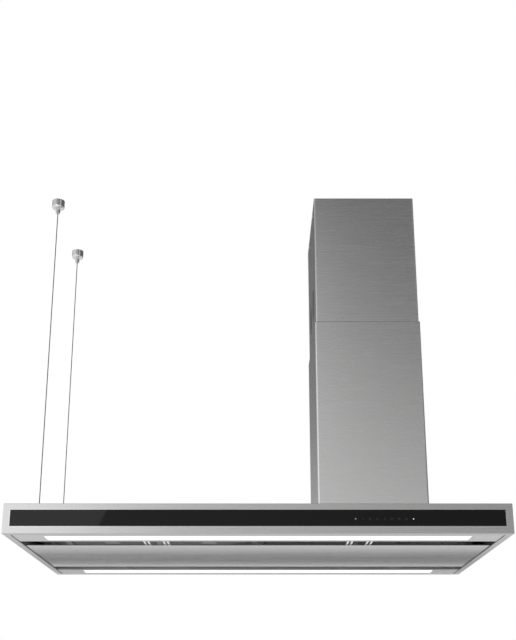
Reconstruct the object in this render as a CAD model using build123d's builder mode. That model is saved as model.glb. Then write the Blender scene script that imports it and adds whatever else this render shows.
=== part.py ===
from build123d import *
import os
from math import hypot

os.makedirs("parts", exist_ok=True)

# Overall sizes in millimetres. The origin is the middle of the ceiling bracket, on the ceiling.
# +X points to the right as seen from the front, +Y to the rear and +Z up.
hood_width = 1198.0
hood_depth = 700.0
hood_height = 72.0
drop = 895.0  # from the ceiling down to the top of the hood
chimney_offset = 292.0  # the chimney's axis, to the right of the hood's middle
fit_gap = 0.3  # clearance where one piece sits inside another
run_gap = 0.05  # radial clearance of a turning fit

# Hood shell: four folded rails with mitred corners, and a top sheet on their ledges
sheet = 1.2
edge_radius = 1.0
rim_width = 20.0
rim_lip = 12.0
ledge_width = 14.0
inlet_width = 200.0
inlet_depth = 260.0

# Glass strips behind the windows of the long rails, and the touch board behind the front one
glass_thick = 4.0
glass_lap = 5.0
window_side = 17.0
window_top = 15.0
window_bottom = 18.0
control_offset = 297.0  # the touch row's middle, to the right of the hood's middle
board_length = 180.0
board_height = 30.0
board_thick = 1.6
chip_length = 14.0
chip_thick = 3.0
plug_length = 22.0
plug_thick = 7.0

# Light bars along the front and the rear
led_width = 87.0
lamp_end = 92.0  # from the hood's end to the end of the lit window
lamp_width = 56.0
lamp_lap = 5.0
diffuser_thick = 3.0
carrier_sheet = 1.5
carrier_height = 16.0
carrier_foot = 5.0
driver_length = 160.0
driver_width = 50.0
driver_height = 20.0
driver_offset = 200.0  # to the left of the hood's middle

# Filter deck with its four grease filters
deck_height = 42.0  # from the hood's underside to the deck
filter_count = 4
filter_end = 93.0  # from the hood's end to the end of the filter row
filter_gap = 1.0
filter_thick = 10.0
filter_rim = 14.0
filter_groove = 6.0
mesh_seat = 4.0  # height of the mesh above the filter's underside
mesh_thick = 5.0
deck_lap = 10.0  # how far the deck covers each filter's edge
deck_rib_inset = 30.0
deck_rib_height = 9.0
rail_room = 43.0  # from a light bar to the filters
rail_flange = 14.0
rail_ledge = 10.0
latch_width = 20.0
latch_thick = 2.0
latch_lift = 1.4  # from the filter's underside to the latch
latch_reach = 5.0  # how far the latch stands out through the rail
latch_length = 140.0
grip_length = 42.0
grip_width = 24.0
grip_drop = 5.0
keeper_width = 10.0
keeper_place = 96.0  # from the filter's front edge to its keeper bar

# Suction panel with its stiffener, rear hinges and front catches
suction_gap = 60.0
panel_end_gap = 2.0
panel_sheet = 1.0
hem_thick = 2.0
hem_width = 14.0
stiffener_sheet = 0.8
stiffener_height = 11.0
stiffener_flange = 10.0
stiffener_end = 26.0
stiffener_side = 62.0
hinge_spread = 400.0
hinge_set = 22.0  # the pin's distance behind the panel's rear edge
hinge_height = 18.0
pin_radius = 2.5
knuckle_radius = 4.5
arm_width = 30.0
arm_thick = 2.5
arm_grip = 50.0
ear_sheet = 2.0
ear_margin = 7.0
ear_gap = 0.5
foot_depth = 24.0
catch_spread = 250.0
catch_sheet = 2.0
catch_height = 16.0
catch_width = 66.0
fork_pitch = 48.0
prong_pitch = 10.0
prong_width = 5.0
prong_thick = 3.0
prong_lap = 8.0  # how far a prong reaches over the panel's hem

# Chimney: two telescopic sleeves, each of a front and a rear half
chimney_width = 280.0
chimney_depth = 360.0
chimney_sheet = 1.0
chimney_bend = 3.5
chimney_gap = 2.0  # between the sleeves
lower_chimney_height = 527.0
sleeve_overlap = 150.0
seam_gap = 0.3
seam_tongue = 8.0
tongue_sheet = 0.8
vent_radius = 45.0
vent_offset = 60.0  # from the chimney's axis, to the front and to the rear
vent_rise = 98.0  # from the lower sleeve's edge to the vents' middle
vent_flange = 4.0
vent_hole = 2.4
vent_pitch = 6.8
screw_radius = 2.0
screw_head = 4.0
screw_head_height = 1.6
screw_drop = 16.0
screw_spread = 100.0

# Ceiling bracket and the bolted frame inside the chimney
bracket_sheet = 3.0
bracket_flange = 28.0
flange_sheet = 2.0
duct_opening = 164.0
bolt_spacing_x = 220.0
bolt_spacing_y = 280.0
bolt_hole = 4.5
post_sheet = 2.0
post_leg = 30.0
post_overlap = 150.0
lower_post_height = 480.0
frame_bolt = 3.0
frame_bolt_head = 5.0
frame_bolt_head_height = 4.0
frame_bolt_pitch = 60.0
frame_bolt_play = 0.1
plate_sheet = 2.0
plate_bolt_inset = 13.0

# Blower in its box on the hood
box_sheet = 1.0
box_gap = 6.0  # from the posts to the box
box_height = 270.0
scroll_wall = 2.0
scroll_width = 150.0
scroll_rise = 120.0  # from the hood's top to the fan's axis
scroll_step = 9.0
tongue_gap = 10.0
outlet_width = 76.0
impeller_radius = 64.0
impeller_width = 136.0
blade_count = 36
blade_depth = 10.0
blade_thick = 1.0
blade_lean = 35.0
disc_thick = 2.0
hub_radius = 11.0
hub_length = 16.0
shaft_radius = 4.0
shaft_length = 76.0
motor_radius = 42.0
motor_gap = 8.0  # from the impeller's disc to the motor
spider_sheet = 2.0
spider_arm = 12.0
spider_lap = 10.0
collar_flange = 168.0
collar_flange_sheet = 3.0
collar_radius = 75.0
collar_wall = 1.5
collar_height = 60.0
flap_height = 30.0  # from the collar's flange to the flap pins
flap_pin_radius = 1.5
flap_pin_offset = 6.0
flap_knuckle = 3.2
flap_thick = 1.5
flap_gap = 2.0
flap_seat = 5.0
flap_seat_thick = 1.5
terminal_length = 100.0
terminal_width = 52.0
terminal_height = 38.0
terminal_gap = 8.0
gland_radius = 8.0
gland_height = 16.0
gland_bore = 4.0

# Suspension cables on the left
cable_inset = 43.0  # from the hood's left end to the cables
cable_spread = 160.0  # each way from the chimney's axis
cable_radius = 1.25
cable_play = 0.1
beam_width = 40.0
beam_height = 18.0
beam_sheet = 1.5
anchor_flange = 13.0
anchor_flange_height = 3.0
anchor_radius = 8.0
anchor_height = 27.0
anchor_bore = 18.0
anchor_round = 2.0
stud_radius = 4.0
stud_play = 0.2
nut_radius = 7.5
nut_height = 6.5
cup_radius = 17.0
cup_height = 24.0
cup_round = 6.0
grip_radius = 6.0
grip_height = 14.0
cable_end = 8.0  # from the ceiling to the cable's upper end

# Places worked out from the sizes
hood_x = -chimney_offset
top_z = -drop
base_z = top_z - hood_height
left_x = hood_x - hood_width / 2
right_x = hood_x + hood_width / 2
front_y = -hood_depth / 2
rear_y = hood_depth / 2
deck_z = base_z + deck_height
inner_width = hood_width - 2 * rim_width
inner_depth = hood_depth - 2 * rim_width
bar_y = hood_depth / 2 - rim_width - led_width  # inner wall of a light bar
lamp_y = hood_depth / 2 - rim_width - led_width / 2
lamp_length = hood_width - 2 * lamp_end
panel_y = bar_y - suction_gap
panel_width = hood_width - 2 * (rim_width + panel_end_gap)


def save(piece, name):
    piece.part.label = name
    export_step(piece.part, f"parts/{name}.step")


# Rails of the hood's rim
window_width = hood_width - 2 * window_side
window_height = hood_height - window_top - window_bottom
window_z = base_z + window_bottom + window_height / 2
ledge_top = hood_height - sheet


def make_rail(name, corner, inward, along, length, glazed):
    start = Vector(*corner)
    inside = Vector(*inward)
    run = Vector(*along)
    with BuildPart() as rail:
        with BuildSketch(Plane(origin=start, x_dir=inside, z_dir=run)) as section:
            with BuildLine():
                Polyline(
                    (0, 0),
                    (0, hood_height),
                    (sheet, hood_height),
                    (sheet, ledge_top),
                    (ledge_width, ledge_top),
                    (ledge_width, ledge_top - sheet),
                    (sheet, ledge_top - sheet),
                    (sheet, sheet),
                    (rim_width - sheet, sheet),
                    (rim_width - sheet, rim_lip),
                    (rim_width, rim_lip),
                    (rim_width, 0),
                    close=True,
                )
            make_face()
            fillet(section.vertices().group_by(Axis.X)[0], min(edge_radius, 0.9 * sheet))
        extrude(amount=length)
        split(bisect_by=Plane(origin=start, z_dir=run - inside), keep=Keep.TOP)
        split(bisect_by=Plane(origin=start + run * length, z_dir=-run - inside), keep=Keep.TOP)
        if glazed:
            with Locations((hood_x, start.Y + inside.Y * sheet / 2, window_z)):
                Box(window_width, 2 * sheet, window_height, mode=Mode.SUBTRACT)
    save(rail, name)


make_rail("front_rail", (left_x, front_y, base_z), (0, 1, 0), (1, 0, 0), hood_width, True)
make_rail("rear_rail", (right_x, rear_y, base_z), (0, -1, 0), (-1, 0, 0), hood_width, True)
make_rail("left_rail", (left_x, rear_y, base_z), (1, 0, 0), (0, -1, 0), hood_depth, False)
make_rail("right_rail", (right_x, front_y, base_z), (-1, 0, 0), (0, 1, 0), hood_depth, False)

# Top sheet with the blower's inlet and the cables' stud holes
cable_x = left_x + cable_inset
cable_ends = ((cable_x, -cable_spread), (cable_x, cable_spread))
with BuildPart() as canopy_top:
    with BuildSketch(Plane.XY.offset(top_z - sheet)):
        with Locations((hood_x, 0)):
            Rectangle(hood_width - 2 * (sheet + fit_gap), hood_depth - 2 * (sheet + fit_gap))
        Rectangle(inlet_width, inlet_depth, mode=Mode.SUBTRACT)
        with Locations(*cable_ends):
            Circle(stud_radius + stud_play, mode=Mode.SUBTRACT)
    extrude(amount=sheet)
save(canopy_top, "canopy_top")

# Glass strips
for name, side in (("front_glass", -1), ("rear_glass", 1)):
    with BuildPart() as glass:
        with Locations((hood_x, side * (hood_depth / 2 - sheet - glass_thick / 2), window_z)):
            Box(window_width + 2 * glass_lap, glass_thick, window_height + 2 * glass_lap)
    save(glass, name)

# Touch board on the back of the front glass
board_x = hood_x + control_offset
board_back = front_y + sheet + glass_thick + board_thick
with BuildPart() as control_board:
    with Locations((board_x, board_back - board_thick / 2, window_z)):
        Box(board_length, board_thick, board_height)
    with Locations((board_x, board_back + chip_thick / 2, window_z)):
        Box(chip_length, chip_thick, chip_length)
    with Locations((board_x + board_length / 2 - plug_length, board_back + plug_thick / 2, window_z)):
        Box(plug_length, plug_thick, board_height / 2)
save(control_board, "control_board")

# Light bars: trough, opal diffuser and the bridge that carries the lamps
with BuildPart() as led_carriers:
    for side in (-1, 1):
        half = lamp_width / 2 + lamp_lap + fit_gap
        with BuildSketch(Plane.YZ.offset(hood_x - lamp_length / 2)):
            with Locations((side * lamp_y, base_z + sheet + carrier_height / 2)):
                Rectangle(2 * (half + carrier_sheet), carrier_height)
            with Locations((side * lamp_y, base_z + sheet + (carrier_height - carrier_sheet) / 2)):
                Rectangle(2 * half, carrier_height - carrier_sheet, mode=Mode.SUBTRACT)
            for edge in (-1, 1):
                foot_y = side * lamp_y + edge * (half + carrier_sheet + carrier_foot / 2)
                with Locations((foot_y, base_z + sheet + carrier_sheet / 2)):
                    Rectangle(carrier_foot, carrier_sheet)
        extrude(amount=lamp_length)
save(led_carriers, "led_carriers")

for place, side in (("front", -1), ("rear", 1)):
    with BuildPart() as led_housing:
        with BuildSketch(Plane.YZ.offset(hood_x - inner_width / 2)):
            with Locations((side * lamp_y, base_z + deck_height / 2)):
                Rectangle(led_width, deck_height)
            with Locations((side * lamp_y, base_z + sheet + deck_height / 2)):
                Rectangle(led_width - 2 * sheet, deck_height, mode=Mode.SUBTRACT)
        extrude(amount=inner_width)
        with Locations((hood_x, side * lamp_y, base_z + sheet / 2)):
            Box(lamp_length, lamp_width, 2 * sheet, mode=Mode.SUBTRACT)
    save(led_housing, f"led_housing_{place}")

    with BuildPart() as led_diffuser:
        with Locations((hood_x, side * lamp_y, base_z + sheet + diffuser_thick / 2)):
            Box(lamp_length + 2 * lamp_lap, lamp_width + 2 * lamp_lap, diffuser_thick)
    save(led_diffuser, f"led_diffuser_{place}")

with BuildPart() as led_driver:
    with Locations((hood_x - driver_offset, lamp_y, deck_z + sheet + driver_height / 2)):
        Box(driver_length, driver_width, driver_height)
    fillet(led_driver.edges().filter_by(Axis.Z), driver_height / 10)
save(led_driver, "led_driver")

# Filter deck, laid on the walls of the light bars
filter_pitch = (hood_width - 2 * filter_end) / filter_count
filter_width = filter_pitch - filter_gap
filter_depth = 2 * (bar_y - rail_room)
filter_z = deck_z - filter_thick
filter_places = [hood_x + (i - (filter_count - 1) / 2) * filter_pitch for i in range(filter_count)]
with BuildPart() as filter_deck:
    with BuildSketch(Plane.XY.offset(deck_z)):
        with Locations((hood_x, 0)):
            Rectangle(inner_width, inner_depth)
        with Locations(*[(x, 0) for x in filter_places]):
            Rectangle(filter_width - 2 * deck_lap, filter_depth - 2 * deck_lap, mode=Mode.SUBTRACT)
    extrude(amount=sheet)
    for side in (-1, 1):
        rib_x = hood_x + side * (inner_width / 2 - deck_rib_inset)
        with Locations((rib_x, 0, deck_z - deck_rib_height / 2)):
            Box(sheet, 2 * (bar_y - fit_gap), deck_rib_height)
save(filter_deck, "filter_deck")

# Rails that hold the filters: slots for the latches in front, a ledge behind
web_y = filter_depth / 2 + fit_gap
latch_z = filter_z + latch_lift + latch_thick / 2
row_width = filter_pitch * filter_count
with BuildPart() as filter_rails:
    with BuildSketch(Plane.YZ.offset(hood_x - row_width / 2)):
        with BuildLine():
            Polyline(
                (-web_y, filter_z),
                (-web_y, deck_z),
                (-web_y - rail_flange, deck_z),
                (-web_y - rail_flange, deck_z - sheet),
                (-web_y - sheet, deck_z - sheet),
                (-web_y - sheet, filter_z),
                close=True,
            )
        make_face()
        with BuildLine():
            Polyline(
                (web_y - rail_ledge, filter_z - sheet),
                (web_y - rail_ledge, filter_z),
                (web_y, filter_z),
                (web_y, deck_z),
                (web_y + rail_flange, deck_z),
                (web_y + rail_flange, deck_z - sheet),
                (web_y + sheet, deck_z - sheet),
                (web_y + sheet, filter_z - sheet),
                close=True,
            )
        make_face()
    extrude(amount=row_width)
    with Locations(*[(x, -web_y - sheet / 2, latch_z) for x in filter_places]):
        Box(latch_width + 2 * fit_gap, 2 * sheet, latch_thick + 2 * fit_gap, mode=Mode.SUBTRACT)
save(filter_rails, "filter_rails")

# Grease filters: frame with a groove for the mesh, a slot for the latch and a keeper bar under it
mesh_width = filter_width - 2 * (filter_rim - filter_groove)
mesh_depth = filter_depth - 2 * (filter_rim - filter_groove)
grip_y = -filter_depth / 2 + latch_length
with BuildPart() as filter_meshes:
    with Locations(*[(x, 0, filter_z + mesh_seat + mesh_thick / 2) for x in filter_places]):
        Box(mesh_width, mesh_depth, mesh_thick)
save(filter_meshes, "filter_meshes")

for number, x in enumerate(filter_places, start=1):
    with BuildPart() as filter_frame:
        with Locations((x, 0, filter_z + filter_thick / 2)):
            Box(filter_width, filter_depth, filter_thick)
            Box(
                filter_width - 2 * filter_rim,
                filter_depth - 2 * filter_rim,
                2 * filter_thick,
                mode=Mode.SUBTRACT,
            )
        with Locations((x, 0, filter_z + mesh_seat + mesh_thick / 2)):
            Box(mesh_width, mesh_depth, mesh_thick, mode=Mode.SUBTRACT)
        with Locations((x, -filter_depth / 2 + filter_rim / 2, latch_z)):
            Box(latch_width + 2 * fit_gap, 2 * filter_rim, latch_thick + 2 * fit_gap, mode=Mode.SUBTRACT)
        keeper_thick = latch_lift - fit_gap
        with Locations((x, -filter_depth / 2 + keeper_place, filter_z + keeper_thick / 2)):
            Box(filter_width - filter_rim, keeper_width, keeper_thick)
    save(filter_frame, f"filter_frame_{number}")

    with BuildPart() as filter_latch:
        tip_y = -web_y - sheet - latch_reach
        with Locations((x, (tip_y + grip_y) / 2, latch_z)):
            Box(latch_width, grip_y - tip_y, latch_thick)
        with BuildSketch(Plane.XY.offset(filter_z - grip_drop)):
            with Locations((x, grip_y)):
                SlotOverall(grip_length, grip_width)
        extrude(amount=grip_drop + latch_lift + latch_thick)
    save(filter_latch, f"filter_latch_{number}")

# Suction panel: hemmed skin and the pressed tray that stiffens it
with BuildPart() as suction_panel:
    with BuildSketch(Plane.XY.offset(base_z)):
        with Locations((hood_x, 0)):
            Rectangle(panel_width, 2 * panel_y)
    extrude(amount=panel_sheet)
    with BuildSketch(Plane.XY.offset(base_z + panel_sheet)):
        with Locations((hood_x, 0)):
            Rectangle(panel_width, 2 * panel_y)
            Rectangle(panel_width - 2 * hem_width, 2 * (panel_y - hem_width), mode=Mode.SUBTRACT)
    extrude(amount=hem_thick - panel_sheet)
save(suction_panel, "suction_panel")

tray_z = base_z + panel_sheet
tray_top = tray_z + stiffener_height
tray_width = panel_width - 2 * stiffener_end
tray_y = panel_y - stiffener_side
with BuildPart() as panel_stiffener:
    with Locations((hood_x, 0, tray_z)):
        Box(
            tray_width,
            2 * tray_y,
            stiffener_height,
            align=(Align.CENTER, Align.CENTER, Align.MIN),
        )
        Box(
            tray_width - 2 * stiffener_sheet,
            2 * (tray_y - stiffener_sheet),
            stiffener_height - stiffener_sheet,
            align=(Align.CENTER, Align.CENTER, Align.MIN),
            mode=Mode.SUBTRACT,
        )
    with BuildSketch(Plane.XY.offset(tray_z)):
        with Locations((hood_x, 0)):
            Rectangle(tray_width + stiffener_flange, 2 * tray_y + 2 * stiffener_flange)
            Rectangle(tray_width - stiffener_sheet, 2 * tray_y - stiffener_sheet, mode=Mode.SUBTRACT)
    extrude(amount=stiffener_sheet)
save(panel_stiffener, "panel_stiffener")

# Panel hinges: arms on the tray, pins, and brackets under the deck
pin_y = panel_y + hinge_set
pin_z = base_z + hinge_height
hinge_places = (hood_x - hinge_spread, hood_x + hinge_spread)
with BuildPart() as hinge_arms:
    for x in hinge_places:
        with BuildSketch(Plane.YZ.offset(x - arm_width / 2)):
            with BuildLine():
                Polyline(
                    (tray_y - arm_grip, tray_top),
                    (tray_y - arm_grip, tray_top + arm_thick),
                    (pin_y - knuckle_radius, tray_top + arm_thick),
                    (pin_y, pin_z + knuckle_radius / 2),
                    (pin_y, tray_top),
                    close=True,
                )
            make_face()
            with Locations((pin_y, pin_z)):
                Circle(knuckle_radius)
                Circle(pin_radius + run_gap, mode=Mode.SUBTRACT)
        extrude(amount=arm_width)
save(hinge_arms, "hinge_arms")

ear_x = arm_width / 2 + ear_gap
with BuildPart() as hinge_pins:
    with Locations(*[Location((x, pin_y, pin_z), (0, 90, 0)) for x in hinge_places]):
        Cylinder(pin_radius, 2 * (ear_x + ear_sheet))
save(hinge_pins, "hinge_pins")

foot_y = web_y + rail_flange + 2 * fit_gap
with BuildPart() as hinge_brackets:
    for x in hinge_places:
        for start in (x - ear_x - ear_sheet, x + ear_x):
            with BuildSketch(Plane.YZ.offset(start)):
                with BuildLine():
                    Polyline(
                        (pin_y - ear_margin, pin_z - ear_margin),
                        (pin_y + ear_margin, pin_z - ear_margin),
                        (foot_y + foot_depth, deck_z - ear_margin),
                        (foot_y + foot_depth, deck_z),
                        (foot_y, deck_z),
                        (foot_y, pin_z + ear_margin),
                        (pin_y - ear_margin, pin_z + ear_margin),
                        close=True,
                    )
                make_face()
                with Locations((pin_y, pin_z)):
                    Circle(pin_radius, mode=Mode.SUBTRACT)
            extrude(amount=ear_sheet)
        with Locations((x, foot_y + foot_depth / 2, deck_z - ear_sheet / 2)):
            Box(2 * (ear_x + ear_sheet), foot_depth, ear_sheet)
save(hinge_brackets, "hinge_brackets")

# Front catches: two-pronged magnetic forks that stop the panel's front hem
prong_z = base_z + hem_thick + fit_gap
prong_tip = -panel_y + prong_lap
with BuildPart() as panel_catches:
    for x in (hood_x - catch_spread, hood_x + catch_spread):
        with Locations((x, -bar_y + catch_sheet / 2, prong_z + catch_height / 2)):
            Box(catch_width, catch_sheet, catch_height)
        for fork in (-fork_pitch / 2, fork_pitch / 2):
            for prong in (-prong_pitch / 2, prong_pitch / 2):
                with Locations((x + fork + prong, (prong_tip - bar_y) / 2, prong_z + prong_thick / 2)):
                    Box(prong_width, bar_y + prong_tip, prong_thick)
save(panel_catches, "panel_catches")

# Chimney sleeves
lower_top = top_z + lower_chimney_height
upper_width = chimney_width - 2 * (chimney_sheet + chimney_gap)
upper_depth = chimney_depth - 2 * (chimney_sheet + chimney_gap)
upper_inner_x = upper_width / 2 - chimney_sheet
upper_inner_y = upper_depth / 2 - chimney_sheet
upper_bottom = lower_top - sleeve_overlap
vent_z = lower_top + vent_rise
vent_places = ((-vent_offset, vent_z), (vent_offset, vent_z))
screw_places = ((-screw_spread, -screw_drop), (screw_spread, -screw_drop))


def make_sleeve(name, width, depth, bottom, height, tongue_height, vented):
    for half, side in (("front", -1), ("rear", 1)):
        with BuildPart() as sleeve:
            with BuildSketch(Plane.XY.offset(bottom)):
                RectangleRounded(width, depth, chimney_bend)
                RectangleRounded(
                    width - 2 * chimney_sheet,
                    depth - 2 * chimney_sheet,
                    chimney_bend - chimney_sheet,
                    mode=Mode.SUBTRACT,
                )
                with Locations((0, -side * depth / 2 + side * seam_gap / 2)):
                    Rectangle(width, depth, mode=Mode.SUBTRACT)
            extrude(amount=height)
            if side < 0:
                with BuildSketch(Plane.XY.offset(bottom)):
                    for edge in (-1, 1):
                        with Locations((edge * (width / 2 - chimney_sheet - tongue_sheet / 2), 0)):
                            Rectangle(tongue_sheet, 2 * seam_tongue)
                extrude(amount=tongue_height)
            if vented:
                with BuildSketch(Plane.YZ):
                    with Locations(*vent_places):
                        Circle(vent_radius + fit_gap)
                    with Locations(*screw_places):
                        Circle(screw_radius + frame_bolt_play)
                extrude(amount=width, both=True, mode=Mode.SUBTRACT)
        save(sleeve, f"{name}_{half}")


make_sleeve(
    "lower_chimney",
    chimney_width,
    chimney_depth,
    top_z,
    lower_chimney_height,
    lower_chimney_height,
    False,
)
make_sleeve(
    "upper_chimney",
    upper_width,
    upper_depth,
    upper_bottom,
    -upper_bottom,
    -upper_bottom - bracket_flange - fit_gap,
    True,
)

# Vent grilles: perforated discs pressed into the upper sleeve's sides from inside
row_pitch = vent_pitch * 3**0.5 / 2
row_count = int(vent_radius / row_pitch)
hole_count = int(vent_radius / vent_pitch) + 1
vent_holes = []
for row in range(-row_count, row_count + 1):
    for step in range(-hole_count, hole_count + 1):
        hole_y = (step + (row % 2) / 2) * vent_pitch
        hole_z = row * row_pitch
        if hypot(hole_y, hole_z) < vent_radius - vent_hole - chimney_sheet:
            vent_holes.append((hole_y, hole_z))

with BuildPart() as vent_grilles:
    for side in (-1, 1):
        inner = side * upper_inner_x
        with BuildSketch(Plane.YZ.offset(inner)):
            with Locations(*vent_places):
                Circle(vent_radius)
        extrude(amount=side * chimney_sheet)
        with BuildSketch(Plane.YZ.offset(inner)):
            with Locations(*vent_places):
                Circle(vent_radius + vent_flange)
        extrude(amount=-side * chimney_sheet)
    with BuildSketch(Plane.YZ):
        for place_y, place_z in vent_places:
            with Locations(*[(place_y + y, place_z + z) for y, z in vent_holes]):
                Circle(vent_hole)
    extrude(amount=chimney_width, both=True, mode=Mode.SUBTRACT)
save(vent_grilles, "vent_grilles")

# Ceiling bracket: plate with the ceiling bolts' holes, the duct's opening and a flange all round
bracket_x = upper_inner_x - fit_gap
bracket_y = upper_inner_y - fit_gap
with BuildPart() as ceiling_bracket:
    with BuildSketch(Plane.XY):
        RectangleRounded(2 * bracket_x, 2 * bracket_y, chimney_bend)
        Rectangle(duct_opening, duct_opening, mode=Mode.SUBTRACT)
        with GridLocations(bolt_spacing_x, bolt_spacing_y, 2, 2):
            Circle(bolt_hole, mode=Mode.SUBTRACT)
    extrude(amount=-bracket_sheet)
    with BuildSketch(Plane.XY.offset(-bracket_sheet)):
        RectangleRounded(2 * bracket_x, 2 * bracket_y, chimney_bend)
        Rectangle(2 * (bracket_x - flange_sheet), 2 * (bracket_y - flange_sheet), mode=Mode.SUBTRACT)
    extrude(amount=bracket_sheet - bracket_flange)
    with BuildSketch(Plane.YZ):
        with Locations(*screw_places):
            Circle(screw_radius)
    extrude(amount=chimney_width, both=True, mode=Mode.SUBTRACT)
save(ceiling_bracket, "ceiling_bracket")

# Screws that hold the upper sleeve to the bracket
with BuildPart() as chimney_screws:
    for side in (-1, 1):
        with BuildSketch(Plane.YZ.offset(side * (bracket_x - flange_sheet))):
            with Locations(*screw_places):
                Circle(screw_radius)
        extrude(amount=side * (flange_sheet + fit_gap + chimney_sheet))
        with BuildSketch(Plane.YZ.offset(side * upper_width / 2)):
            with Locations(*screw_places):
                Circle(screw_head)
        extrude(amount=side * screw_head_height)
save(chimney_screws, "chimney_screws")

# Angle posts of the frame, the lower ones nested in the upper ones and bolted to them
outer_x = bracket_x - flange_sheet
outer_y = bracket_y - flange_sheet
nested_x = outer_x - post_sheet
nested_y = outer_y - post_sheet
plate_top = top_z + plate_sheet
lower_post_top = plate_top + lower_post_height
overlap_z = lower_post_top - post_overlap / 2
frame_bolt_z = (overlap_z - frame_bolt_pitch / 2, overlap_z + frame_bolt_pitch / 2)
frame_bolt_y = nested_y - post_leg / 2
frame_bolt_places = [(side * frame_bolt_y, z) for side in (-1, 1) for z in frame_bolt_z]


def make_posts(name, corner_x, corner_y, bottom, top):
    with BuildPart() as posts:
        with BuildSketch(Plane.XY.offset(bottom)):
            for sx in (-1, 1):
                for sy in (-1, 1):
                    with Locations((sx * (corner_x - post_sheet / 2), sy * (corner_y - post_leg / 2))):
                        Rectangle(post_sheet, post_leg)
                    with Locations((sx * (corner_x - post_leg / 2), sy * (corner_y - post_sheet / 2))):
                        Rectangle(post_leg, post_sheet)
        extrude(amount=top - bottom)
        with BuildSketch(Plane.YZ):
            with Locations(*frame_bolt_places):
                Circle(frame_bolt + frame_bolt_play)
        extrude(amount=chimney_width, both=True, mode=Mode.SUBTRACT)
    save(posts, name)


make_posts("upper_posts", outer_x, outer_y, lower_post_top - post_overlap, -bracket_sheet)
make_posts("lower_posts", nested_x, nested_y, plate_top, lower_post_top)

# Base plate of the frame, bolted to the hood's top round the inlet
box_x = nested_x - box_gap
box_y = nested_y - box_gap
plate_bolt_x = box_x - plate_bolt_inset
plate_bolt_y = box_y - plate_bolt_inset
with BuildPart() as base_plate:
    with BuildSketch(Plane.XY.offset(top_z)):
        Rectangle(2 * nested_x, 2 * nested_y)
        Rectangle(inlet_width, inlet_depth, mode=Mode.SUBTRACT)
        with GridLocations(2 * plate_bolt_x, 2 * plate_bolt_y, 2, 2):
            Circle(frame_bolt, mode=Mode.SUBTRACT)
    extrude(amount=plate_sheet)
save(base_plate, "base_plate")

# Bolts of the frame, with their heads on the inside
with BuildPart() as frame_bolts:
    for side in (-1, 1):
        with BuildSketch(Plane.YZ.offset(side * outer_x)):
            with Locations(*frame_bolt_places):
                Circle(frame_bolt)
        extrude(amount=-side * 2 * post_sheet)
        with BuildSketch(Plane.YZ.offset(side * (nested_x - post_sheet))):
            with Locations(*frame_bolt_places):
                RegularPolygon(frame_bolt_head, 6)
        extrude(amount=-side * frame_bolt_head_height)
    with BuildSketch(Plane.XY.offset(top_z)):
        with GridLocations(2 * plate_bolt_x, 2 * plate_bolt_y, 2, 2):
            Circle(frame_bolt)
    extrude(amount=plate_sheet)
    with BuildSketch(Plane.XY.offset(plate_top)):
        with GridLocations(2 * plate_bolt_x, 2 * plate_bolt_y, 2, 2):
            RegularPolygon(frame_bolt_head, 6)
    extrude(amount=frame_bolt_head_height)
save(frame_bolts, "frame_bolts")

# Blower box, open below
box_top = plate_top + box_height
outlet_y = 0.0
with BuildPart() as motor_box:
    with Locations((0, 0, plate_top)):
        Box(2 * box_x, 2 * box_y, box_height, align=(Align.CENTER, Align.CENTER, Align.MIN))
        Box(
            2 * (box_x - box_sheet),
            2 * (box_y - box_sheet),
            box_height - box_sheet,
            align=(Align.CENTER, Align.CENTER, Align.MIN),
            mode=Mode.SUBTRACT,
        )
    with Locations((0, outlet_y, box_top)):
        Box(scroll_width, outlet_width, 4 * box_sheet, mode=Mode.SUBTRACT)
save(motor_box, "motor_box")

# Scroll of the double-inlet fan. Its wall widens by one step each quarter turn up to the outlet.
start_radius = impeller_radius + tongue_gap
far_radius = start_radius + 2 * scroll_step
fan_y = outlet_y + outlet_width / 2 - scroll_step - far_radius
fan_z = top_z + scroll_rise
scroll_top = box_top - box_sheet
tongue_y = outlet_y - outlet_width / 2


def scroll_outline(wall):
    low_radius = start_radius + scroll_step
    with BuildSketch(Plane.YZ) as outline:
        with BuildLine():
            CenterArc((fan_y, fan_z), start_radius + wall, 90, 90)
            CenterArc((fan_y + scroll_step, fan_z), low_radius + wall, 180, 90)
            CenterArc((fan_y + scroll_step, fan_z + scroll_step), far_radius + wall, 270, 90)
            Polyline(
                (fan_y + scroll_step + far_radius + wall, fan_z + scroll_step),
                (fan_y + scroll_step + far_radius + wall, scroll_top),
                (tongue_y - wall, scroll_top),
                (tongue_y - wall, fan_z + start_radius + wall),
                (fan_y, fan_z + start_radius + wall),
            )
        make_face()
    return outline.sketch


for name, side in (("scroll_left", -1), ("scroll_right", 1)):
    with BuildPart() as scroll:
        extrude(scroll_outline(scroll_wall), amount=side * (scroll_width / 2 + scroll_wall))
        extrude(scroll_outline(0), amount=side * scroll_width / 2, mode=Mode.SUBTRACT)
        with BuildSketch(Plane.YZ):
            with Locations((fan_y, fan_z)):
                Circle(impeller_radius - blade_depth)
        extrude(amount=side * scroll_width, mode=Mode.SUBTRACT)
    save(scroll, name)

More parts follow.
